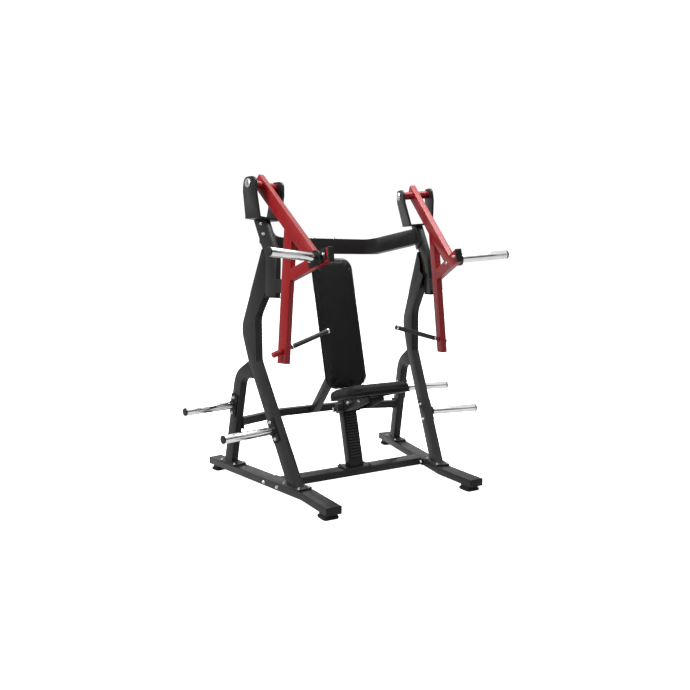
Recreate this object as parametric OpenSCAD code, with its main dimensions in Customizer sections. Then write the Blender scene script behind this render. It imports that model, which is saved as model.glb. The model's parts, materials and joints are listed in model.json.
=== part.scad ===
// Plate-loaded chest press machine: two toed side frames, two converging press arms, adjustable seat.
// Millimetres, +Z up, front of the machine towards -Y, floor at Z = 0.

/* [Overall] */
// Half distance between the two side planes at the front legs
plane_x = 524; // [500:2:560]
// Toe-in of each side plane, degrees
toe = 11; // [9:0.5:13]
// Outward lean of the arm planes, degrees
lean = 5; // [3:0.5:6]
// Extra toe-in of the arm planes, degrees
arm_toe = 2.85; // [1.5:0.05:4]

/* [Base] */
// Base rail width
rail_w = 94; // [80:2:110]
// Base rail height
rail_h = 44; // [40:1:60]
// Foot height under the rails
foot_h = 33; // [28:1:50]
// Frame tube width across the side plane
tube_b = 50; // [40:1:60]
// Tube wall
wall = 3; // [2:0.5:5]

/* [Press arms] */
// Pivot height above the floor
pivot_z = 1812; // [1780:1:1840]
// Pivot shaft diameter
shaft_d = 25; // [20:1:30]
// Running clearance of the pivot bore on its shaft, radial
shaft_gap = 0.05; // [0.02:0.01:0.1]
// Half distance over the pivot lugs
lug_out = 107; // [100:1:115]
// Press arm and stop tube width
arm_b = 36; // [32:1:44]
// Gap between the resting arm and its bumper
rest_gap = 0.4; // [0.3:0.1:1]

/* [Horns] */
// Weight horn diameter, fits 50 mm plates
horn_d = 49; // [46:0.5:50]
// Arm horn length outside its collar
arm_horn_l = 302; // [240:2:320]
// Storage horn length outside its collar
store_horn_l = 318; // [240:2:330]

/* [Seat and back] */
// Recline of the back pad and the seat column, degrees
recline = 15; // [12:0.5:18]
// Seat column width
col_w = 100; // [90:1:110]
// Rack rib pitch
rib_p = 18; // [16:1:22]
// Back pad width
pad_w = 300; // [270:2:320]
// Back pad thickness
pad_t = 45; // [40:1:70]
// Seat pad thickness
seat_t = 62; // [45:1:70]
// Clearance of the seat sleeve around its column
slide_gap = 0.5; // [0.3:0.1:1]

/* [Hidden] */
$fn = 64;
y0 = -156.1;
rail_top = foot_h + rail_h;
plate_top = rail_top + 10;
bend_s = 190;
front_x = plane_x - bend_s * sin(toe);
front_y = -bend_s * cos(toe);
front_end = -490;
lug_t = 14;
pivot_s = -252;
pivot_n = -27;
leg_top = [-277.3, -236, 0];
leg_end = [-286.3, -1022, 0];
leg_d = 72;
bar_a = 41;
bar_d = 77;
horn_p = [-549, -430];
flange_p = [-540, -430];
grip_tilt = 21;
grip_yaw = 3.7;
grip_p = [-288, -945];
beam_z = 1426;
rear_z = 324;
col_o = [0, 80, plate_top];
pad_z0 = 497;
pad_z1 = 1352;
pad_y = -37;
seat_z = 415;
slv_z0 = 345;
slv_z1 = 414;
col_l = 462;
pin_z = 6 + 18 * 20 + 4.5;
ink = [0.16, 0.16, 0.17];
red = [0.60, 0.18, 0.20];
chr = [0.82, 0.83, 0.85];
blk = [0.08, 0.08, 0.09];

function un(v) = v / norm(v);
function xy(p) = [p[0], p[1]];
function crs(a, b) = a[0] * b[1] - a[1] * b[0];
function nrm(a, b) = let (u = un(b - a)) [-u[1], u[0]];
function rev(P) = [for (i = [len(P) - 1 : -1 : 0]) P[i]];
// arc of radius r at corner b between a and c
function arc(a, b, c, r) =
  let (u = un(a - b), v = un(c - b), h = acos(u * v) / 2,
       o = b + un(u + v) * r / sin(h), s = b + u * r / tan(h) - o,
       a0 = atan2(s[1], s[0]), w = (crs(-u, v) > 0 ? 1 : -1) * (180 - 2 * h),
       n = max(2, ceil(abs(w) / 9)))
  [for (i = [0 : n]) o + r * [cos(a0 + w * i / n), sin(a0 + w * i / n)]];
// closed outline of [x, y, corner radius] rows
function rnd(P) = let (n = len(P)) [for (i = [0 : n - 1])
  each (P[i][2] > 0.5 ? arc(xy(P[(i + n - 1) % n]), xy(P[i]), xy(P[(i + 1) % n]), P[i][2])
                      : [xy(P[i])])];
// outline moved inwards by d, for a counter-clockwise outline
function inset(P, d) = let (n = len(P)) [for (i = [0 : n - 1])
  let (a = xy(P[(i + n - 1) % n]), b = xy(P[i]), c = xy(P[(i + 1) % n]),
       n1 = nrm(a, b), m = un(n1 + nrm(b, c)), q = b + m * d / (m * n1),
       r = P[i][2] + (crs(b - a, c - b) > 0 ? -d : d))
  [q[0], q[1], P[i][2] > 0.5 ? r : 0]];
// one edge of a centreline, moved sideways by d
function edge(P, d) = let (n = len(P)) [for (i = [0 : n - 1])
  let (b = xy(P[i]), n1 = i > 0 ? nrm(xy(P[i - 1]), b) : nrm(b, xy(P[1])),
       n2 = i < n - 1 ? nrm(b, xy(P[i + 1])) : n1, m = un(n1 + n2),
       q = b + m * d / (m * n1), t = crs(n1, n2))
  [q[0], q[1], P[i][2] > 0.5 ? P[i][2] - d * sign(t) : 0]];
function strip(P, w) = concat(edge(P, -w / 2), rev(edge(P, w / 2)));

// prism of a side outline (y, z), thickness b along X, centred on x = c
module slab(P, b, c = 0) translate([c, 0, 0]) rotate([90, 0, 90])
  linear_extrude(b, center = true) polygon(rnd(P));
// the same, closed and hollow
module hollow(P, b) difference() {
  slab(P, b);
  slab(inset(P, wall), b - 2 * wall);
}
// prism of a plan outline (x, y) between two heights
module plan(P, z0, z1) translate([0, 0, z0]) linear_extrude(z1 - z0) polygon(rnd(P));
module rod(d, a, b) translate([a, 0, 0]) rotate([0, 90, 0]) cylinder(d = d, h = b - a);
// hexagon bolt head with washer, pointing along +X from x = 0
module bolt(d = 16, h = 8) {
  rod(d * 1.35, 0, 2);
  translate([2, 0, 0]) rotate([0, 90, 0]) cylinder(d = d * 1.1, h = h, $fn = 6);
}

// left side plane: x inwards, y rearwards
module on_left() translate([-plane_x, y0, 0]) rotate([0, 0, toe]) children();
// left arm plane, origin at the pivot
module on_arm() on_left() translate([-pivot_n, -pivot_s, pivot_z]) rotate([0, lean, arm_toe])
  children();
module other() mirror([1, 0, 0]) children();
// seat column frame: z along the leaning column, y = 0 at its front face
module on_col() translate([0, y0, 0]) translate(col_o) rotate([-recline, 0, 0]) children();

// outlines in the side plane
leg_pts = [[-125, plate_top, 0], [-26, plate_top, 0], [357, 769, 0], [432, 964, 150],
           [193, 1457, 0], [110, 1457, 0], [110, 1277, 0], [278, 1041, 120], [274, 779, 60]];
rear_pts = [[572, plate_top, 0], [657, plate_top, 0], [511, 684, 170], [357, 769, 0],
            [298.6, 665, 0], [437, 659, 75]];
// outlines in the arm plane
stop_pts = [[-202, -648, 0], [-102, -648, 0], [-89, -439, 80], [52, -200, 0],
            [-64, -200, 0], [-187, -409, 180]];
lug_pts = [[-88, -192, 0], [44, -192, 0], [51, -20, 30], [46, 38, 36], [-62, 38, 40],
           [-70, -30, 30]];
corner_pts = [[-512, -410, 0], [-612, -371, 0], [-626, -445, 0], [-512, -485, 0]];
brace_a = [-282, -534, 0];
brace_b = [-560, -433, 0];
leg_strip = strip([leg_top, leg_end], leg_d);
bar_strip = let (u = [-cos(bar_a), -sin(bar_a)], q = 1.5 * [-u[1], u[0]])
  strip([[q[0] - u[0] * 62, q[1] - u[1] * 62, 0], [q[0] + u[0] * 690, q[1] + u[1] * 690, 0]], bar_d);
// outlines in plan and from the side for the bent cross tubes
beam_line = [[-583, 210, 0], [-357.6, 515, 150], [357.6, 515, 150], [583, 210, 0]];
beam_side = [[180, beam_z + 82, 0], [490, beam_z, 0], [560, beam_z, 0], [560, beam_z + 100, 0],
             [490, beam_z + 100, 0], [180, beam_z + 182, 0]];
rear_line = [[-630, 539, 0], [-230, 690, 0], [230, 690, 0], [630, 539, 0]];

module rail_solid(cut) plan(strip([[-front_x, y0 + front_end + cut, 0],
  [-front_x, y0 + front_y, 0],
  [-plane_x - (808 - cut) * sin(toe), y0 + (808 - cut) * cos(toe), 0]], rail_w - 2 * cut),
  foot_h + cut, rail_top - cut);
module rail() color(ink) difference() {
  rail_solid(0);
  rail_solid(wall);
}
module rail_caps() color(blk) {
  translate([-front_x - rail_w / 2 - 1, y0 + front_end - 6, foot_h - 1]) cube([rail_w + 2, 6, rail_h + 2]);
  on_left() translate([-rail_w / 2 - 1, 808, foot_h - 1]) cube([rail_w + 2, 6, rail_h + 2]);
}
module foot(l, w) color(blk) {
  plan([[-w / 2, -l / 2, 20], [w / 2, -l / 2, 20], [w / 2, l / 2, 20], [-w / 2, l / 2, 20]], 0, 14);
  plan([[-w / 2 + 8, -l / 2 + 8, 16], [w / 2 - 8, -l / 2 + 8, 16], [w / 2 - 8, l / 2 - 8, 16],
        [-w / 2 + 8, l / 2 - 8, 16]], 14, foot_h);
}
module front_foot() translate([-front_x, y0 + front_end + 62, 0]) foot(96, 96);
module rear_foot() on_left() translate([0, 756, 0]) foot(80, 92);

module upright() color(ink) difference() {
  on_left() {
    hollow(leg_pts, tube_b);
    translate([-46, -172, rail_top]) cube([92, 170, 10]);
  }
  on_arm() slab(stop_pts, tube_b + 24);
}
module rear_leg() color(ink) on_left() {
  hollow(rear_pts, tube_b);
  translate([-46, 505, rail_top]) cube([92, 178, 10]);
}
module arm_support() color(ink) on_arm() hollow(stop_pts, arm_b);
module stop_bumper() color(blk) on_arm() {
  difference() {
    slab([[-188, -625, 0], [-188, -545, 0], [-244.8 + rest_gap, -545, 6],
          [-245.7 + rest_gap, -625, 6]], 34);
    slab(stop_pts, arm_b + 2);
  }
  translate([-20, -204, -654]) cube([40, 104, 6]);
}
module pivot_bracket() color(ink) on_arm() difference() {
  union() {
    translate([-83, -90, -200]) cube([166, 136, 10]);
    for (s = [0, 1]) mirror([s, 0, 0]) intersection() {
      slab(lug_pts, 60, 90);
      rotate([90, 0, 0]) linear_extrude(400, center = true) polygon([[lug_out, 60], [lug_out, -45],
        [83, -192], [83 - lug_t, -192], [lug_out - lug_t, -45], [lug_out - lug_t, 60]]);
    }
  }
  rod(shaft_d, -lug_out - 5, lug_out + 5);
}
module pivot_shaft() color(chr) on_arm() {
  rod(shaft_d, -lug_out, lug_out);
  for (s = [0, 1]) mirror([s, 0, 0]) {
    rod(52, lug_out, lug_out + 7);
    rod(40, lug_out + 7, lug_out + 12);
  }
}

module both() {
  children();
  mirror([1, 0, 0]) children();
}
module beam_body(d) translate([0, y0, 0]) intersection() {
  plan(strip(beam_line, 50 - 2 * d), beam_z - 50, beam_z + 250);
  slab(d > 0 ? inset(beam_side, d) : beam_side, 1300 - 50 * d);
}
module upper_crossbeam() color(ink) {
  difference() {
    union() {
      difference() {
        beam_body(0);
        intersection() {
          beam_body(wall);
          translate([-490, y0, beam_z]) cube([980, 600, 300]);
        }
      }
      both() other() on_arm() translate([20, -43, -280]) rotate([-30.5, 0, 0])
        cube([12, 96, 124], center = true);
    }
    both() other() on_arm() translate([-382, -400, -700]) cube([400, 800, 700]);
    both() other() on_left() slab(leg_pts, tube_b + 0.02);
  }
  translate([-45, y0 + 452, beam_z - 8]) cube([90, 84, 9]);
}
module rear_crossmember() color(ink) difference() {
  union() {
    translate([0, y0, 0]) difference() {
      plan(strip(rear_line, 50), rear_z, rear_z + 50);
      intersection() {
        plan(strip(rear_line, 50 - 2 * wall), rear_z + wall, rear_z + 50 - wall);
        translate([-560, 400, 0]) cube([1120, 400, 900]);
      }
    }
    both() other() on_left() translate([25, 500, rear_z - 15]) cube([8, 104, 80]);
  }
  both() other() on_left() translate([-75, 400, rear_z - 40]) cube([100, 400, 150]);
}
module floor_crossmember() color(ink) difference() {
  union() {
    translate([-620, y0 + 62, foot_h]) cube([1240, 95, rail_h]);
    both() other() on_left() translate([rail_w / 2, 26, foot_h + 1]) cube([8, 162, rail_h - 2]);
    translate([-95, y0 + 50, rail_top]) cube([190, 118, 10]);
  }
  translate([-425, y0 + 62 + wall, foot_h + wall]) cube([850, 95 - 2 * wall, rail_h - 2 * wall]);
  both() other() on_left() translate([-353, -600, 0]) cube([400, 1200, 160]);
}
module floor_member() color(ink) {
  floor_crossmember();
  both() for (y = [62, 156]) translate([-82, y0 + y, plate_top - 1]) rotate([0, -90, 0]) bolt(12, 8);
}
module back_post() color(ink) difference() {
  on_col() hollow(strip([[pad_y + pad_t + 33, 1430, 0], [pad_y + pad_t + 33, 688, 110],
    [500, 392, 0]], 50), 50);
  translate([-60, y0 + 380, beam_z - 8]) cube([120, 220, 120]);
  translate([-60, y0 + 665, rear_z - 120]) cube([120, 300, 170]);
  translate([-60, y0 + 560, rear_z - 120]) cube([120, 300, 130]);
}
module pad_plate() color(ink) on_col() {
  translate([-110, pad_y + pad_t, 560]) cube([220, 8, 60]);
  translate([-110, pad_y + pad_t, 1220]) cube([220, 8, 60]);
}
module back_pad() color(blk) on_col() translate([0, pad_y + pad_t, 0]) rotate([90, 0, 0])
  linear_extrude(pad_t) polygon(rnd([[-pad_w / 2, pad_z0, 70], [pad_w / 2, pad_z0, 70],
    [pad_w / 2, pad_z1, 70], [-pad_w / 2, pad_z1, 70]]));

module seat_column() color(ink) difference() {
  on_col() difference() {
    translate([-col_w / 2, 0, -40]) cube([col_w, 60, col_l + 40]);
    translate([-col_w / 2 + wall, wall, 40]) cube([col_w - 2 * wall, 60 - 2 * wall, col_l - 44]);
  }
  translate([-200, y0 - 200, plate_top - 100]) cube([400, 600, 100]);
}
module seat_rack() color(blk) on_col() translate([42, 0, 0]) rotate([0, -90, 0]) linear_extrude(84)
  polygon([[60, 0], for (i = [3 : 24]) each [[6 + i * rib_p, -3], [6 + i * rib_p, -11],
    [6 + i * rib_p + 9, -11], [6 + i * rib_p + 9, -3]], [452, -3], [452, 0]]);
module seat_carriage() color(ink) on_col() difference() {
  union() {
    translate([-62, -24, slv_z0]) cube([124, 96, slv_z1 - slv_z0]);
    translate([-94, -24, slv_z0 + 8]) cube([34, 34, 44]);
  }
  translate([-col_w / 2 - slide_gap, -11 - slide_gap, slv_z0 - 1])
    cube([col_w + 2 * slide_gap, 71 + 2 * slide_gap, slv_z1 - slv_z0 + 2]);
  translate([-120, -7, pin_z]) rod(6.6, 0, 80);
}
module seat_bracket() color(ink) on_col() {
  for (s = [-1, 1]) slab([[-24, slv_z0 + 5, 0], [-24, seat_z - 8, 0], [-338, seat_z - 8, 0],
    [-338, seat_z - 35, 6], [-331, seat_z - 35, 0], [-177, seat_z - 63, 0]], 6, s * 51);
  translate([-54, -338, seat_z - 8]) cube([108, 314, 8]);
  translate([-95, -330, seat_z - 8]) cube([190, 190, 8]);
}
module seat_pad() color(blk) on_col()
  plan([[-219, -421, 45], [219, -421, 45], [219, -121, 45], [-219, -121, 45]], seat_z,
       seat_z + seat_t);
module pop_pin() color(chr) on_col() translate([0, -7, pin_z]) {
  rod(6, -112, -43);
  rod(14, -100, -94.5);
  rod(26, -124, -104);
}

module press_arm() color(red) on_arm() difference() {
  union() {
    difference() {
      union() for (P = arm_parts) slab(P, arm_b);
      for (P = arm_parts) slab(inset(P, wall), arm_b - 2 * wall);
    }
    rod(50, -lug_out + lug_t + 1.5, lug_out - lug_t - 1.5);
  }
  rod(shaft_d + 2 * shaft_gap, -lug_out, lug_out);
}
arm_parts = [bar_strip, leg_strip, strip([brace_a, brace_b], 64), corner_pts];
module horn_flange() color(blk) on_arm() {
  translate([-arm_b / 2 - 5, flange_p[0], flange_p[1]]) rotate([-20, 0, 0])
    cube([10, 140, 64], center = true);
  translate([0, horn_p[0], horn_p[1]]) rod(80, -arm_b / 2 - 28, -arm_b / 2 - 6);
}
module arm_horn() color(chr) on_arm() translate([0, horn_p[0], horn_p[1]])
  rod(horn_d, -arm_b / 2 - 28 - arm_horn_l, -arm_b / 2 - 28);
module arm_horn_cap() color(blk) on_arm() translate([0, horn_p[0], horn_p[1]])
  rod(horn_d, -arm_b / 2 - 38 - arm_horn_l, -arm_b / 2 - 28 - arm_horn_l);
module arm_end_cap() color(blk) on_arm()
  slab([[-612, -369, 0], [-622, -367, 4], [-637, -445, 4], [-626.4, -447, 0]], arm_b + 2);
module arm_bolts() color(chr) on_arm() for (k = [-58, 54])
  translate([0, flange_p[0], flange_p[1]]) rotate([-20, 0, 0]) translate([0, k, 0]) {
    translate([-arm_b / 2 - 10, 0, 0]) mirror([1, 0, 0]) bolt(12, 7);
    translate([arm_b / 2, 0, 0]) bolt(12, 10);
  }
module on_grip() on_arm() translate([0, grip_p[0], grip_p[1]])
  rotate([0, -grip_tilt, -grip_yaw]) children();
module handle_bar(outer = 34, outer_d = 26) color(red) difference() {
  on_grip() {
    rod(outer_d, -outer, 0);
    rod(28, 0, 30);
    rod(22, 30, 318);
  }
  on_arm() slab(leg_strip, arm_b + 0.02);
}
module hand_grip() color(blk) on_grip() {
  difference() {
    rod(29, 56, 320);
    rod(22, 50, 318);
  }
  rod(29, 330, 336);
}
module grip_ring() color(chr) on_grip() {
  rod(32, 320, 330);
  difference() {
    rod(33, 49, 56);
    rod(22, 40, 60);
  }
}

store_f = [95, 381, 60];
store_r = [525, 471, 104];
module on_store(p) on_left() translate([-tube_b / 2, p[0], p[1]]) rotate([0, 0, 180]) children();
module store_horn(p) color(chr) on_store(p) rod(horn_d, 24, 24 + store_horn_l);
module store_plates() color(blk) for (p = [store_f, store_r]) on_store(p) {
  rotate([180 - p[2], 0, 0]) translate([0, -70, -32]) cube([10, 140, 64]);
  rod(60, 6, 24);
}
module store_caps() color(blk) for (p = [store_f, store_r]) on_store(p)
  rod(horn_d, 24 + store_horn_l, 34 + store_horn_l);
module frame_bolts() color(chr) {
  for (p = [store_f, store_r], k = [-52, 52]) {
    on_store(p) rotate([180 - p[2], 0, 0]) translate([10, k, 0]) bolt(14, 7);
    on_left() translate([tube_b / 2, p[0], p[1]]) rotate([p[2] - 180, 0, 0])
      translate([0, -k, 0]) bolt(14, 10);
  }
  on_left() for (x = [-36, 36], y = [-156, -15, 520, 670])
    translate([x, y, plate_top]) rotate([0, -90, 0]) bolt(12, 7);
  on_left() for (y = [39, 175]) {
    translate([-rail_w / 2, y, foot_h + rail_h / 2]) mirror([1, 0, 0]) bolt(16, 8);
    translate([rail_w / 2 + 8, y, foot_h + rail_h / 2]) bolt(16, 8);
  }
  translate([-77, y0 + 515, beam_z + 100]) rotate([0, -90, 0]) bolt(16, 10);
  on_arm() for (p = [[-27, -224], [-56, -284]]) translate([-arm_b / 2, p[0], p[1]])
    mirror([1, 0, 0]) bolt(14, 8);
}

rail();  // left_base_rail
other() rail();  // right_base_rail
rail_caps();  // left_rail_caps
other() rail_caps();  // right_rail_caps
front_foot();  // left_front_foot
other() front_foot();  // right_front_foot
rear_foot();  // left_rear_foot
other() rear_foot();  // right_rear_foot
floor_member();  // floor_crossmember
upright();  // left_upright
other() upright();  // right_upright
rear_leg();  // left_rear_leg
other() rear_leg();  // right_rear_leg
arm_support();  // left_arm_support
other() arm_support();  // right_arm_support
stop_bumper();  // left_stop_bumper
other() stop_bumper();  // right_stop_bumper
pivot_bracket();  // left_pivot_bracket
other() pivot_bracket();  // right_pivot_bracket
pivot_shaft();  // left_pivot_shaft
other() pivot_shaft();  // right_pivot_shaft
upper_crossbeam();
rear_crossmember();
back_post();
pad_plate();  // pad_plates
back_pad();
seat_column();
seat_rack();
seat_carriage();
seat_bracket();
seat_pad();
pop_pin();
press_arm();  // left_press_arm
other() press_arm();  // right_press_arm
horn_flange();  // left_horn_flange
other() horn_flange();  // right_horn_flange
arm_end_cap();  // left_arm_end_cap
other() arm_end_cap();  // right_arm_end_cap
arm_bolts();  // left_arm_bolts
other() arm_bolts();  // right_arm_bolts
arm_horn();  // left_arm_horn
other() arm_horn();  // right_arm_horn
arm_horn_cap();  // left_arm_horn_cap
other() arm_horn_cap();  // right_arm_horn_cap
handle_bar(84, 33);  // left_handle_bar
other() handle_bar();  // right_handle_bar
hand_grip();  // left_hand_grip
other() hand_grip();  // right_hand_grip
grip_ring();  // left_grip_rings
other() grip_ring();  // right_grip_rings
store_horn(store_f);  // left_front_storage_horn
other() store_horn(store_f);  // right_front_storage_horn
store_horn(store_r);  // left_rear_storage_horn
other() store_horn(store_r);  // right_rear_storage_horn
store_plates();  // left_storage_plates
other() store_plates();  // right_storage_plates
store_caps();  // left_storage_caps
other() store_caps();  // right_storage_caps
frame_bolts();  // left_frame_bolts
other() frame_bolts();  // right_frame_bolts
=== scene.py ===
import bpy, bmesh, json, math
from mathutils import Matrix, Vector


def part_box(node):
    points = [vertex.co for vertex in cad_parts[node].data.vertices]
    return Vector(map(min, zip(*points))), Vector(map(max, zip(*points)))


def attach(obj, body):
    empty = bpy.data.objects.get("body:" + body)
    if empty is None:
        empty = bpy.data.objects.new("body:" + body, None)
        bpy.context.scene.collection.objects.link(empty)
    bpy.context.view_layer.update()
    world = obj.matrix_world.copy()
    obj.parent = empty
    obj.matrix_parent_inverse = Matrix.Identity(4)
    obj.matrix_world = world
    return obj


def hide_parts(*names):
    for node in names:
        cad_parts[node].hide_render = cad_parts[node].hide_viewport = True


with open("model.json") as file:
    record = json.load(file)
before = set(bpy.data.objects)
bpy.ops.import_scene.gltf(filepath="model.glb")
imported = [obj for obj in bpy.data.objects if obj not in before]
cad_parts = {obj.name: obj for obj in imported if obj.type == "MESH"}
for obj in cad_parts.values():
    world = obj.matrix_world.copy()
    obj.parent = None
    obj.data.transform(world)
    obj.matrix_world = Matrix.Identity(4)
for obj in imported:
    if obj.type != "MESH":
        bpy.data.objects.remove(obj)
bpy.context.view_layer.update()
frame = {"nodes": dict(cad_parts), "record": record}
NODES = frame["nodes"]
SLOT = {s["node"]: s["material_slot"] for s in frame["record"]["subparts"]}
SC = bpy.context.scene

# The seat column, back pad and rack share one frame that leans back about the foot of the column.
LEAN = math.radians(15)
ORIGIN = Vector((0.0, -0.0761, 0.087))


# ---------------------------------------------------------------- camera

def camera(location, azimuth, pitch, lens):
    """Azimuth from +Y towards +X and downward pitch, in degrees."""
    cam = bpy.data.objects.new("camera", bpy.data.cameras.new("camera"))
    SC.collection.objects.link(cam)
    cam.data.lens = lens
    cam.data.sensor_width = 36
    cam.data.clip_end = 60
    a, e = math.radians(azimuth), math.radians(pitch)
    aim = Vector((math.sin(a) * math.cos(e), math.cos(a) * math.cos(e), -math.sin(e)))
    cam.location = location
    cam.rotation_euler = aim.to_track_quat("-Z", "Y").to_euler()
    SC.camera = cam


camera(location=(-2.238, -3.787, 1.335), azimuth=30.083, pitch=6.295, lens=36.62)


# ---------------------------------------------------------------- materials

class Graph:
    """Short names for building one node material."""

    def __init__(self, name):
        self.mat = bpy.data.materials.new(name)
        self.mat.use_nodes = True
        self.tree = self.mat.node_tree
        self.bsdf = self.tree.nodes["Principled BSDF"]
        self.coord = self.add("ShaderNodeTexCoord").outputs["Object"]

    def add(self, kind, **values):
        node = self.tree.nodes.new(kind)
        for key, value in values.items():
            if key in node.inputs:
                node.inputs[key].default_value = value
            else:
                setattr(node, key, value)
        return node

    def link(self, a, b):
        self.tree.links.new(a, b)

    def scaled(self, scale):
        node = self.add("ShaderNodeMapping")
        node.inputs["Scale"].default_value = scale
        self.link(self.coord, node.inputs["Vector"])
        return node.outputs["Vector"]

    def noise(self, scale, detail=3.0, stretch=None):
        node = self.add("ShaderNodeTexNoise", Scale=scale, Detail=detail, Roughness=0.55)
        self.link(self.scaled(stretch) if stretch else self.coord, node.inputs["Vector"])
        return node.outputs["Fac"]

    def cells(self, scale, feature="F1", out="Distance"):
        node = self.add("ShaderNodeTexVoronoi", feature=feature)
        node.inputs["Scale"].default_value = scale
        self.link(self.coord, node.inputs["Vector"])
        return node.outputs[out]

    def ramp(self, value, lo, hi, to_lo, to_hi):
        node = self.add("ShaderNodeMapRange")
        node.inputs["From Min"].default_value = lo
        node.inputs["From Max"].default_value = hi
        node.inputs["To Min"].default_value = to_lo
        node.inputs["To Max"].default_value = to_hi
        self.link(value, node.inputs["Value"])
        return node.outputs["Result"]

    def mix(self, fac, a, b):
        node = self.add("ShaderNodeMix", data_type="RGBA")
        self.link(fac, node.inputs["Factor"])
        for value, socket in ((a, node.inputs["A"]), (b, node.inputs["B"])):
            if isinstance(value, tuple):
                socket.default_value = (*value, 1.0)
            else:
                self.link(value, socket)
        return node.outputs["Result"]

    def math(self, op, a, b):
        node = self.add("ShaderNodeMath", operation=op)
        for i, value in enumerate((a, b)):
            if isinstance(value, (int, float)):
                node.inputs[i].default_value = value
            else:
                self.link(value, node.inputs[i])
        return node.outputs[0]

    def bump(self, *layers):
        """Each layer is (height, distance in metres)."""
        last = None
        for height, distance in layers:
            node = self.add("ShaderNodeBump", Strength=1.0, Distance=distance)
            self.link(height, node.inputs["Height"])
            if last:
                self.link(last, node.inputs["Normal"])
            last = node.outputs["Normal"]
        self.link(last, self.bsdf.inputs["Normal"])

    def edges(self, radius):
        """1 on convex and concave edges, 0 on flats."""
        bevel = self.add("ShaderNodeBevel", samples=4)
        bevel.inputs["Radius"].default_value = radius
        geo = self.add("ShaderNodeNewGeometry")
        dot = self.add("ShaderNodeVectorMath", operation="DOT_PRODUCT")
        self.link(bevel.outputs["Normal"], dot.inputs[0])
        self.link(geo.outputs["Normal"], dot.inputs[1])
        return self.ramp(dot.outputs["Value"], 0.99, 0.86, 0.0, 1.0)

    def done(self, color=None, rough=None, **fixed):
        if color is not None:
            self.link(color, self.bsdf.inputs["Base Color"])
        if rough is not None:
            self.link(rough, self.bsdf.inputs["Roughness"])
        for key, value in fixed.items():
            self.bsdf.inputs[key.replace("_", " ")].default_value = value
        return self.mat


RACK_HALF_WIDTH = 0.06
RIB_FRONT, RIB_SIDE = -0.0107, -0.0095


def paint_rib_highlight_and_shade(g, color):
    """Rack only: painted highlight on the rib fronts and painted shade in the gaps between them, by
    depth from the column face.
    """
    split = g.add("ShaderNodeSeparateXYZ")
    g.link(g.coord, split.inputs[0])
    x, y, z = split.outputs
    across = g.math("MULTIPLY", g.math("SUBTRACT", y, ORIGIN.y), math.cos(LEAN))
    along = g.math("MULTIPLY", g.math("SUBTRACT", z, ORIGIN.z), math.sin(LEAN))
    depth = g.math("SUBTRACT", across, along)
    rack = g.math("LESS_THAN", g.math("ABSOLUTE", x, 0.0), RACK_HALF_WIDTH)
    gap = g.ramp(depth, RIB_FRONT, RIB_SIDE, 0.0, 1.0)
    # painted highlight colour on the rib fronts, painted shade colour in the gaps between the ribs
    shade = g.mix(gap, (0.04, 0.04, 0.041), (0.0008, 0.0008, 0.0008))
    return g.mix(rack, color, shade)


def paint(name, base, light, worn, rough, coat, level, with_painted_rib_shading=False):
    """Powder coat with orange peel, dust, handling marks and rubbed edges; on the rack, painted
    highlights on the rib fronts and painted shade between the ribs.
    """
    g = Graph(name)
    cloud = g.ramp(g.noise(5.0, 5.0), 0.35, 0.7, 0.0, 1.0)
    color = g.mix(cloud, base, light)
    rub = g.math("MULTIPLY", g.edges(0.003), g.ramp(g.noise(38.0, 6.0), 0.5, 0.68, 0.0, 0.75))
    color = g.mix(rub, color, worn)
    # the rack's rib fronts get a painted highlight and the gaps between them painted shade
    if with_painted_rib_shading:
        color = paint_rib_highlight_and_shade(g, color)
    smear = g.ramp(g.noise(14.0, 6.0, (1.0, 1.0, 0.25)), 0.3, 0.75, rough - 0.06, rough + 0.1)
    scuff = g.ramp(g.noise(160.0, 2.0, (1.0, 1.0, 0.08)), 0.62, 0.72, 0.0, 0.1)
    g.bump((g.noise(420.0, 2.0), 0.00009), (g.noise(1500.0, 1.0), 0.00003))
    return g.done(color, g.math("ADD", smear, scuff), Coat_Weight=coat, Coat_Roughness=0.12,
                  Specular_IOR_Level=level)


def metal(name, base, tint, rough, spread, streak, distance):
    """Bright metal: fine drawn scratches, faint tarnish and fingermarks."""
    g = Graph(name)
    color = g.mix(g.ramp(g.noise(22.0, 5.0), 0.45, 0.8, 0.0, 1.0), base, tint)
    lines = g.noise(90.0, 4.0, streak)
    marks = g.ramp(g.noise(30.0, 6.0), 0.45, 0.75, 0.0, spread)
    value = g.math("ADD", marks, g.ramp(lines, 0.3, 0.7, rough, rough + spread * 0.5))
    g.bump((lines, distance))
    return g.done(color, value, Metallic=1.0)


def moulded(name, base, light, rough, grain, distance):
    """Moulded rubber or plastic: fine spark-eroded grain and dusty patches."""
    g = Graph(name)
    color = g.mix(g.ramp(g.noise(18.0, 6.0), 0.42, 0.75, 0.0, 1.0), base, light)
    value = g.ramp(g.noise(60.0, 4.0), 0.3, 0.7, rough - 0.07, rough + 0.1)
    g.bump((g.cells(grain), distance), (g.noise(grain * 2.3, 1.0), distance * 0.5))
    return g.done(color, value, Specular_IOR_Level=0.3)


def vinyl(name, base, light):
    """Upholstery vinyl: pebbled leather grain in two sizes, a faint soft sheen all over."""
    g = Graph(name)
    color = g.mix(g.ramp(g.noise(6.0, 4.0), 0.35, 0.75, 0.0, 1.0), base, light)
    pores = g.cells(620.0, "DISTANCE_TO_EDGE")
    value = g.math("ADD", g.ramp(g.noise(26.0, 5.0), 0.3, 0.7, 0.43, 0.54),
                   g.ramp(pores, 0.0, 0.12, 0.1, 0.0))
    g.bump((g.ramp(pores, 0.0, 0.16, 0.0, 1.0), 0.00025), (g.noise(900.0, 3.0), 0.0001),
           (g.noise(24.0, 3.0), 0.0006))
    return g.done(color, value, Specular_IOR_Level=0.2, Sheen_Weight=0.02, Sheen_Roughness=0.4)


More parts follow.
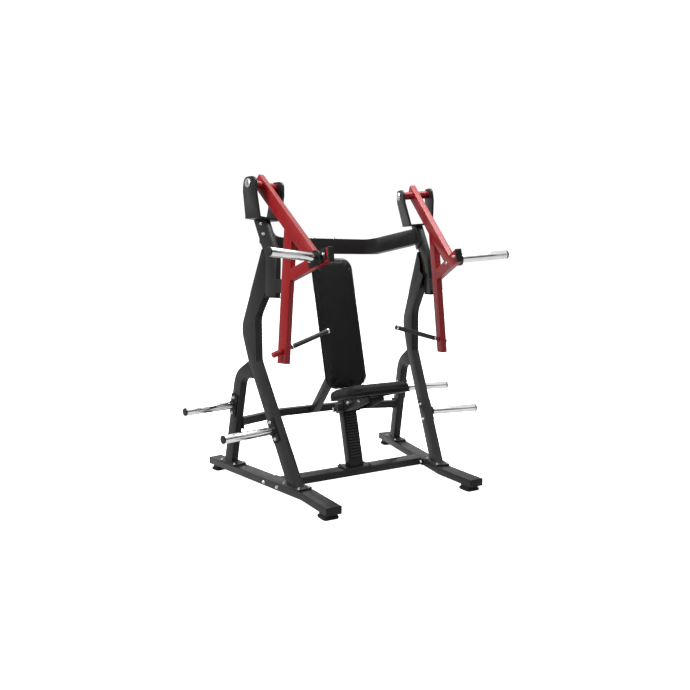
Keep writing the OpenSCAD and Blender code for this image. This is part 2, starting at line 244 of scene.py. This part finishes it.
def grip(name):
    """Foam rubber sleeve: knurled diamonds and roughness that varies in patches."""
    g = Graph(name)
    color = g.mix(g.ramp(g.noise(25.0, 5.0), 0.4, 0.7, 0.0, 1.0), (0.006, 0.006, 0.0065),
                  (0.013, 0.013, 0.014))
    value = g.ramp(g.noise(35.0, 4.0), 0.3, 0.7, 0.42, 0.62)
    g.bump((g.cells(260.0, "DISTANCE_TO_EDGE"), 0.0006), (g.noise(1100.0, 2.0), 0.0001))
    return g.done(color, value)


MAT = {
    "frame_paint": paint("frame_paint", (0.0165, 0.0165, 0.0172), (0.0232, 0.0232, 0.0243),
                         (0.07, 0.07, 0.074), 0.3, 0.05, 0.22),
    "arm_paint": paint("arm_paint", (0.26, 0.0085, 0.0105), (0.31, 0.0115, 0.014),
                       (0.40, 0.06, 0.06), 0.3, 0.05, 0.25),
    # black_paint also carries the rack's painted rib highlights and painted shade in the gaps
    "black_paint": paint("black_paint", (0.007, 0.007, 0.0074), (0.012, 0.012, 0.0125),
                         (0.045, 0.045, 0.045), 0.36, 0.0, 0.25, True),
    "chrome_steel": metal("chrome_steel", (0.80, 0.80, 0.81), (0.68, 0.68, 0.69), 0.11, 0.04,
                          (0.1, 1.0, 1.0), 0.000001),
    "zinc_bolt": metal("zinc_bolt", (0.86, 0.86, 0.86), (0.66, 0.66, 0.64), 0.24, 0.2,
                       (1.0, 1.0, 1.0), 0.00008),
    "rubber_black": moulded("rubber_black", (0.006, 0.006, 0.006), (0.013, 0.013, 0.013), 0.6,
                            700.0, 0.00016),
    "end_cap_plastic": moulded("end_cap_plastic", (0.007, 0.007, 0.0075), (0.013, 0.013, 0.0135),
                               0.42, 950.0, 0.0001),
    "grip_rubber": grip("grip_rubber"),
    "upholstery": vinyl("upholstery", (0.0042, 0.0042, 0.0045), (0.0062, 0.0062, 0.0066)),
}

for name, obj in NODES.items():
    obj.data.materials.clear()
    obj.data.materials.append(MAT[SLOT[name]])


# ---------------------------------------------------------------- rounded tube edges

# Bevel width in metres by part of the node name; the first match counts.
ROUND = {"base_rail": 0.004, "upright": 0.004, "rear_leg": 0.004, "arm_support": 0.004,
         "press_arm": 0.004, "pivot_bracket": 0.0015, "horn_flange": 0.0015, "rail_caps": 0.002,
         "foot": 0.002, "stop_bumper": 0.0015, "arm_end_cap": 0.0015, "storage_plates": 0.0015,
         "floor_crossmember": 0.004, "upper_crossbeam": 0.004, "rear_crossmember": 0.004,
         "back_post": 0.004, "seat_column": 0.004, "seat_carriage": 0.002,
         "seat_bracket": 0.001, "pad_plates": 0.001, "horn_cap": 0.003, "storage_caps": 0.003,
         "pop_pin": 0.0012, "bolts": 0.0008, "horn": 0.001, "shaft": 0.0015, "rings": 0.0008,
         "handle_bar": 0.0015, "hand_grip": 0.002, "seat_rack": 0.0008}


WELD_GAP = 0.00002
FLAT_ANGLE, BEVEL_ANGLE, SHARP_ANGLE = math.radians(0.6), math.radians(34), math.radians(32)


def round_edges(obj, width):
    """Joins the flat triangles into faces, then rounds the sharp edges."""
    weld = obj.modifiers.new("weld", "WELD")
    weld.merge_threshold = WELD_GAP
    flat = obj.modifiers.new("flat", "DECIMATE")
    flat.decimate_type = "DISSOLVE"
    flat.angle_limit = FLAT_ANGLE
    bevel = obj.modifiers.new("bevel", "BEVEL")
    bevel.width = width
    bevel.segments = 3 if width > 0.0012 else 2
    bevel.limit_method = "ANGLE"
    bevel.angle_limit = BEVEL_ANGLE
    bevel.use_clamp_overlap = True
    bevel.miter_outer = "MITER_ARC"


def smooth_faces(mesh):
    for poly in mesh.polygons:
        poly.use_smooth = True


for name, obj in NODES.items():
    key = next((k for k in ROUND if k in name), None)
    if key:
        round_edges(obj, ROUND[key])
    smooth_faces(obj.data)
    obj.data.set_sharp_from_angle(angle=SHARP_ANGLE)


# ---------------------------------------------------------------- shapes

def leaned(x, y, z):
    """A point of the leaning frame in the shared frame."""
    return ORIGIN + Vector((x, y * math.cos(LEAN) + z * math.sin(LEAN),
                            -y * math.sin(LEAN) + z * math.cos(LEAN)))


def unlean(co):
    """The reverse of leaned."""
    d = co - ORIGIN
    return (d.x, d.y * math.cos(LEAN) - d.z * math.sin(LEAN),
            d.y * math.sin(LEAN) + d.z * math.cos(LEAN))


def back_place(u, v, w):
    """Pad coordinates of the back pad: across, up the pad, towards the post."""
    return leaned(u, w, v)


def back_unplace(co):
    x, y, z = unlean(co)
    return (x, z, y)


def outline(half, lo, hi, r, steps=9):
    """Rounded rectangle, 2 * half wide and from lo to hi."""
    pts = []
    for cx, cv, a0 in ((half - r, lo + r, -90), (half - r, hi - r, 0),
                       (-half + r, hi - r, 90), (-half + r, lo + r, 180)):
        for i in range(steps + 1):
            a = math.radians(a0 + 90 * i / steps)
            pts.append((cx + r * math.cos(a), cv + r * math.sin(a)))
    return pts


def shell(name, rings):
    """Closed shell through rings of points, capped at both ends."""
    bm = bmesh.new()
    rows = [[bm.verts.new(point) for point in ring] for ring in rings]
    for a, b in zip(rows, rows[1:]):
        for i in range(len(a)):
            j = (i + 1) % len(a)
            bm.faces.new((a[i], a[j], b[j], b[i]))
    bm.faces.new(rows[0][::-1])
    bm.faces.new(rows[-1])
    bmesh.ops.recalc_face_normals(bm, faces=bm.faces)
    mesh = bpy.data.meshes.new(name)
    bm.to_mesh(mesh)
    bm.free()
    return linked(name, mesh)


def linked(name, data):
    obj = bpy.data.objects.new(name, data)
    SC.collection.objects.link(obj)
    return obj


def stacked(name, rings, place):
    """Shell through rings of (outline, level)."""
    return shell(name, [[place(u, v, w) for u, v in pts] for pts, w in rings])


def evaluated_mesh(obj):
    """A copy of obj's mesh with its modifiers applied."""
    return bpy.data.meshes.new_from_object(
        obj.evaluated_get(bpy.context.evaluated_depsgraph_get()))


def applied(obj):
    """Replaces obj's mesh by the evaluated one and drops the modifiers."""
    mesh = evaluated_mesh(obj)
    obj.modifiers.clear()
    obj.data = mesh


# ---------------------------------------------------------------- pads

VOXEL = 0.006
CLOTH_FRAMES = 20
PAD_TRIM = 0.0035  # how far the pad starts inside the CAD outline, before it swells
PAD_CROWN = 0.0045
SEAM_AT, SEAM_WIDTH, SEAM_DEPTH = 0.30, 0.0042, 0.0022
WELT_RADIUS, WELT_INSET = 0.0022, 0.0012


def inflate(obj):
    """Swells obj with cloth pressure; the vertex group board holds it to its board."""
    cloth = obj.modifiers.new("cloth", "CLOTH")
    st = cloth.settings
    st.quality = 6
    st.mass = 0.35
    st.tension_stiffness = 18
    st.compression_stiffness = 18
    st.shear_stiffness = 8
    st.bending_stiffness = 1.2
    st.use_pressure = True
    st.uniform_pressure_force = 4.0
    st.vertex_group_mass = "board"
    st.effector_weights.gravity = 0.0
    cloth.collision_settings.use_collision = False
    for f in range(1, CLOTH_FRAMES + 1):
        SC.frame_set(f)
    applied(obj)
    SC.frame_set(1)


def cushion(name, half, lo, hi, r, back, front, place, unplace, body, node, cap):
    """A foam pad on a board: remeshed, inflated, capped, crowned, creased, subdivided."""
    sign = 1 if front > back else -1
    thick = abs(front - back)
    profile = [(0.003, 0.0), (0.0, 0.18), (0.0, 0.62), (0.002, 0.78), (0.006, 0.90), (0.013, 0.98),
               (0.022, 1.0)]
    rings = [(outline(half - PAD_TRIM - d, lo + PAD_TRIM + d, hi - PAD_TRIM - d,
                      max(r - d, 0.012)),
              back + sign * (thick - 0.004) * t) for d, t in profile]
    obj = stacked(name, rings, place)
    remesh = obj.modifiers.new("remesh", "REMESH")
    remesh.mode = "VOXEL"
    remesh.voxel_size = VOXEL
    applied(obj)
    start = [v.co.copy() for v in obj.data.vertices]
    held = obj.vertex_groups.new(name="board")
    level = [sign * (unplace(c)[2] - back) for c in start]
    for i, w in enumerate(level):
        hold = 1.0 if w < 0.006 else max(0.0, 0.6 - w / 0.03)
        if hold > 0:
            held.add([i], hold, "REPLACE")
    inflate(obj)
    verts = obj.data.vertices
    for i, v in enumerate(verts):
        move = v.co - start[i]
        if move.length > cap:
            v.co = start[i] + move.normalized() * cap
    for v in verts:
        u, q, w = unplace(v.co)
        f = max(0.0, min(1.0, sign * (w - back) / thick))
        # a crown across the pad, fading to nothing at its edge and its board
        ex = 1 - (abs(u) / half) ** 2.6
        ey = 1 - (abs(2 * (q - lo) / (hi - lo) - 1)) ** 5
        w += sign * PAD_CROWN * max(ex, 0) * max(ey, 0) * f ** 3
        # the crease of the seam on the side wall
        seam = math.exp(-((f - SEAM_AT) * thick / SEAM_WIDTH) ** 2)
        edge = max(abs(u) / half, abs(2 * (q - lo) / (hi - lo) - 1))
        if seam > 0.02 and edge > 0.8:
            n = Vector((u, (q - (lo + hi) / 2) * 2 * half / (hi - lo)))
            n.normalize()
            u -= n.x * SEAM_DEPTH * seam
            q -= n.y * SEAM_DEPTH * seam
        v.co = place(u, q, w)
    smooth = obj.modifiers.new("smooth", "SMOOTH")
    smooth.factor = 0.5
    smooth.iterations = 3
    sub = obj.modifiers.new("sub", "SUBSURF")
    sub.levels = sub.render_levels = 1
    applied(obj)
    smooth_faces(obj.data)
    obj.data.materials.clear()
    obj.data.materials.append(MAT["upholstery"])
    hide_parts(node)
    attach(obj, body)
    welt = outline(half - WELT_INSET, lo + WELT_INSET, hi - WELT_INSET, r, 12)
    level = back + sign * thick * SEAM_AT
    tube(name + "_welt", [place(u, v, level) for u, v in welt], WELT_RADIUS, "upholstery", body)


def tube(name, path, radius, slot, body):
    """A closed loop of round bead along path."""
    curve = bpy.data.curves.new(name, "CURVE")
    curve.dimensions = "3D"
    spline = curve.splines.new("POLY")
    spline.points.add(len(path) - 1)
    for point, co in zip(spline.points, path):
        point.co = (*co, 1.0)
    spline.use_cyclic_u = True
    curve.bevel_depth = radius
    curve.bevel_resolution = 3
    holder = linked(name + "_path", curve)
    mesh = evaluated_mesh(holder)
    bpy.data.objects.remove(holder)
    obj = linked(name, mesh)
    smooth_faces(mesh)
    mesh.materials.clear()
    mesh.materials.append(MAT[slot])
    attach(obj, body)


def board(name, half, lo, hi, r, back, front, place, body):
    """The moulded shell under a pad, with a rounded rim."""
    t = front - back
    rings = [(outline(half - d, lo + d, hi - d, r - d), back + t * k)
             for d, k in ((0.007, 0.0), (0.0052, 0.12), (0.0045, 0.4), (0.0045, 1.0))]
    obj = stacked(name, rings, place)
    obj.data.set_sharp_from_angle(angle=math.radians(40))
    obj.data.materials.append(MAT["end_cap_plastic"])
    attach(obj, body)


# ---------------------------------------------------------------- screws, bolts, knob


def turned(name, profile, at, axis, slot, body, sides=32, facet=None):
    """Solid of revolution from (radius, distance along axis) rows.

    Rows facet[0] to facet[1] are hexagons instead of circles.
    """
    z = Vector(axis).normalized()
    x = z.orthogonal().normalized()
    y = z.cross(x)
    centre = Vector(at)
    rings = []
    for k, (r, h) in enumerate(profile):
        ring = []
        for i in range(sides):
            a = 2 * math.pi * i / sides
            reach = r
            if facet and facet[0] <= k <= facet[1]:
                off_flat = (a % (math.pi / 3)) - math.pi / 6
                reach = r * math.cos(math.pi / 6) / math.cos(off_flat)
            ring.append(centre + x * reach * math.cos(a) + y * reach * math.sin(a) + z * h)
        rings.append(ring)
    obj = shell(name, rings)
    smooth_faces(obj.data)
    obj.data.set_sharp_from_angle(angle=math.radians(35))
    obj.data.materials.append(MAT[slot])
    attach(obj, body)


HEX = [(0.0095, 0.0), (0.0095, 0.0012), (0.0088, 0.0018), (0.0078, 0.0018), (0.0078, 0.0062),
       (0.0066, 0.0076)]
BUTTON = [(0.0070, 0.0), (0.0070, 0.0006), (0.0062, 0.0022), (0.0044, 0.0034), (0.0026, 0.0038),
          (0.0024, 0.0018)]

# Half width, lower edge, upper edge and corner radius of each pad in its own plane.
SEAT = (0.219, -0.421, -0.121, 0.045)
BACK = (0.150, 0.497, 1.352, 0.070)
cushion("seat_cushion", *SEAT, 0.4205, 0.477, leaned, unlean, "seat", "seat_pad", 0.007)
board("seat_board", *SEAT, 0.4152, 0.4222, leaned, "seat")
cushion("back_cushion", *BACK, 0.0030, -0.037, back_place, back_unplace, "frame", "back_pad", 0.006)
board("back_board", *BACK, 0.0078, 0.0012, back_place, "frame")

for side in (-1, 1):
    tag = "left" if side < 0 else "right"
    for k, y in enumerate((-0.082, -0.222)):
        turned("seat_bolt_%s_%d" % (tag, k), HEX, leaned(side * 0.0541, y, 0.398), (side, 0, 0),
               "zinc_bolt", "seat", 36, (3, 5))
    for k, z in enumerate((0.59, 1.25)):
        turned("pad_screw_%s_%d" % (tag, k), BUTTON, leaned(side * 0.085, 0.0161, z),
               leaned(0, 1, 0) - leaned(0, 0, 0), "zinc_bolt", "frame")
knob_lo, knob_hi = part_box("pop_pin")
knob = Vector((knob_lo.x, (knob_lo.y + knob_hi.y) / 2, (knob_lo.z + knob_hi.z) / 2))
turned("pin_knob_ring", [(0.0108, 0.0002), (0.0150, 0.0002), (0.0162, 0.0016), (0.0166, 0.0060),
                         (0.0160, 0.0100), (0.0166, 0.0140), (0.0158, 0.0180), (0.0140, 0.0194)],
       knob, (1, 0, 0), "end_cap_plastic", "pop_pin", 40)


# ---------------------------------------------------------------- floor, world, lights

# The floor and sky are plain white to the eye, and darker for bounced light and reflections.
SEEN_GLOW, MIRRORED_GLOW = 1.2, 0.35
SKY_SEEN = 1.05
SKY_BY_HEIGHT = ((0.0, 0.04), (0.42, 0.12), (0.62, 0.85), (1.0, 1.1))
SKY_BEHIND = (("From Min", 0.35), ("From Max", 0.8), ("To Min", 0.0), ("To Max", 0.55))

bpy.ops.mesh.primitive_plane_add(size=60)
floor = bpy.context.object
floor.name = "floor"
g = Graph("floor")
rays = g.add("ShaderNodeLightPath")
g.bsdf.inputs["Emission Color"].default_value = (1, 1, 1, 1)
emission = g.math("ADD", g.math("MULTIPLY", rays.outputs["Is Camera Ray"], SEEN_GLOW),
                  g.math("MULTIPLY", rays.outputs["Is Glossy Ray"], MIRRORED_GLOW))
g.link(emission, g.bsdf.inputs["Emission Strength"])
floor_mat = g.done(g.mix(rays.outputs["Is Camera Ray"], (0.35, 0.35, 0.35), (0.93, 0.93, 0.93)),
                   g.ramp(g.noise(8.0), 0.3, 0.7, 0.75, 0.85), Specular_IOR_Level=0.2)
floor.data.materials.append(floor_mat)

world = bpy.data.worlds.new("world")
world.use_nodes = True
wt = world.node_tree
sky = wt.nodes["Background"]
tc = wt.nodes.new("ShaderNodeTexCoord")
sep = wt.nodes.new("ShaderNodeSeparateXYZ")
ramp = wt.nodes.new("ShaderNodeValToRGB")
behind = wt.nodes.new("ShaderNodeMapRange")
glow = wt.nodes.new("ShaderNodeMath")
for end, value in SKY_BEHIND:
    behind.inputs[end].default_value = value
glow.operation = "ADD"
wt.links.new(tc.outputs["Generated"], sep.inputs[0])
wt.links.new(sep.outputs["Z"], ramp.inputs["Fac"])
for i, (z, level) in enumerate(SKY_BY_HEIGHT):
    stop = ramp.color_ramp.elements[i] if i < 2 else ramp.color_ramp.elements.new(z)
    stop.position = z
    stop.color = (level, level, level, 1)
path = wt.nodes.new("ShaderNodeLightPath")
white = wt.nodes.new("ShaderNodeBackground")
white.inputs[0].default_value = (1, 1, 1, 1)
white.inputs[1].default_value = SKY_SEEN
mix = wt.nodes.new("ShaderNodeMixShader")
wt.links.new(sep.outputs["Y"], behind.inputs["Value"])
wt.links.new(ramp.outputs["Color"], glow.inputs[0])
wt.links.new(behind.outputs["Result"], glow.inputs[1])
wt.links.new(glow.outputs[0], sky.inputs[0])
wt.links.new(path.outputs["Is Camera Ray"], mix.inputs[0])
wt.links.new(sky.outputs[0], mix.inputs[1])
wt.links.new(white.outputs[0], mix.inputs[2])
wt.links.new(mix.outputs[0], wt.nodes["World Output"].inputs["Surface"])
SC.world = world
SC.view_settings.view_transform = "Standard"


def area(name, loc, target, size, power):
    light = linked(name, bpy.data.lights.new(name, "AREA"))
    light.data.size = size
    light.data.energy = power
    light.location = loc
    light.rotation_euler = (Vector(target) - Vector(loc)).to_track_quat("-Z", "Y").to_euler()


area("key", (-4.6, -0.6, 3.2), (0, 0, 0.9), size=2.2, power=150)
area("fill", (3.6, -3.8, 2.6), (0, 0, 0.9), size=2.6, power=8)
area("top", (0.9, -0.1, 4.9), (0, 0.1, 1.0), size=2.8, power=170)
